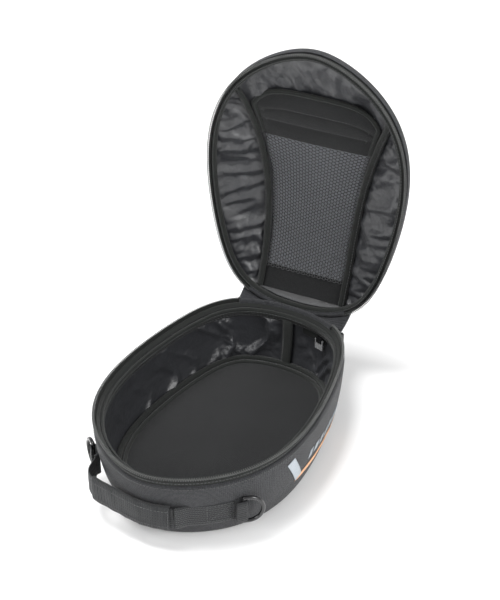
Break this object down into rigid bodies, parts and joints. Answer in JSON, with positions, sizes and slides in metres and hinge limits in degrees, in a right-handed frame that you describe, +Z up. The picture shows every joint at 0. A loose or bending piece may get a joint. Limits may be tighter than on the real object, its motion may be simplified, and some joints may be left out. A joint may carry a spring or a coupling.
{
  "type": "tank bag",
  "caption": "Egg-shaped soft-shell motorcycle bag with a zipped, domed lid on a fabric hinge, webbing handle and D-rings, shown open.",
  "frame": {"origin": "middle of the flat underside, on the surface the bag stands on", "axes": "+Z up, +Y towards the narrow hinge end, +X towards the printed side"},
  "size_m": [0.229, 0.3862, 0.387],
  "materials": {
    "outer_fabric": "woven polyester, dark grey-black",
    "nylon_lining": "thin shiny nylon, dark grey",
    "binding": "grosgrain binding, greenish black",
    "zip_tape": "herringbone zip tape",
    "zip_coil": "nylon coil",
    "webbing": "ribbed webbing",
    "floor_fabric": "plain woven mat",
    "board": "moulded board",
    "grip_pad": "fine-ribbed non-slip sheet",
    "mesh": "open spacer mesh",
    "black_metal": "gloss black",
    "pull_metal": "bright",
    "print": "flat screen print"
  },
  "bodies": {
    "tub": {"tub_shell": "outer_fabric", "tub_lining": "nylon_lining", "base_board": "board", "floor_mat": "floor_fabric", "floor_piping": "binding", "underside_pad": "grip_pad", "tub_zip_tape": "zip_tape", "tub_zip_coil": "zip_coil", "tub_rim_binding": "binding", "hinge_fabric": "outer_fabric", "zip_end_left": "binding", "zip_end_right": "binding", "rear_seam_tape": "binding", "pocket_zip_tape": "zip_tape", "handle_patch_left": "webbing", "handle_patch_right": "webbing", "ring_loop_left": "webbing", "ring_loop_right": "webbing", "side_print": "print", "zip_slider_left": "black_metal", "zip_slider_right": "black_metal"},
    "lid": {"lid_panel": "outer_fabric", "lid_gusset_left": "outer_fabric", "lid_gusset_right": "outer_fabric", "lid_lining_centre": "nylon_lining", "lid_lining_left": "nylon_lining", "lid_lining_right": "nylon_lining", "lid_binding_left": "binding", "lid_binding_right": "binding", "lid_rim_band": "outer_fabric", "lid_zip_tape": "zip_tape", "lid_zip_coil": "zip_coil", "lid_rim_binding": "binding", "mesh_pocket": "mesh", "pocket_hem": "floor_fabric", "pocket_edging": "binding"},
    "handle": {"handle_strap": "webbing", "handle_sleeve": "webbing"},
    "left_ring": {"d_ring_left": "black_metal"},
    "right_ring": {"d_ring_right": "black_metal"},
    "small_slider": {"pocket_slider": "black_metal"},
    "small_pull": {"pocket_pull": "pull_metal"},
    "left_pull": {"zip_pull_left": "black_metal"},
    "right_pull": {"zip_pull_right": "black_metal"}
  },
  "joints": [
    {"name": "lid_hinge", "type": "hinge", "parent": "tub", "child": "lid", "pos_m": [0, 0.156, 0.07], "axis": [0.9965, 0.0249, -0.0797], "range_deg": [-45, 87.5]},
    {"name": "handle_swing", "type": "hinge", "parent": "tub", "child": "handle", "pos_m": [-0.02123, -0.13923, 0.04], "axis": [0.9659, -0.259, 0], "range_deg": [-3, 20]},
    {"name": "left_ring_swing", "type": "hinge", "parent": "tub", "child": "left_ring", "pos_m": [-0.08591, -0.11092, 0.04], "axis": [0, 0, 1], "range_deg": [-10, 90]},
    {"name": "right_ring_swing", "type": "hinge", "parent": "tub", "child": "right_ring", "pos_m": [0.08591, -0.11092, 0.04], "axis": [0, 0, -1], "range_deg": [-10, 90]},
    {"name": "small_zip_travel", "type": "slide", "parent": "tub", "child": "small_slider", "axis": [0.9593, -0.2825, 0], "range_m": [-0.02, 0]},
    {"name": "small_pull_swing", "type": "hinge", "parent": "small_slider", "child": "small_pull", "pos_m": [0.04316, 0.14235, 0.0647], "axis": [0.9593, -0.2825, 0], "range_deg": [-120, 0]},
    {"name": "left_pull_swing", "type": "hinge", "parent": "tub", "child": "left_pull", "pos_m": [-0.06613, 0.1467, 0.0767], "axis": [-0.787, -0.6169, 0], "range_deg": [-120, 0]},
    {"name": "right_pull_swing", "type": "hinge", "parent": "tub", "child": "right_pull", "pos_m": [0.06613, 0.1467, 0.0767], "axis": [-0.787, 0.6169, 0], "range_deg": [-120, 0]}
  ]
}
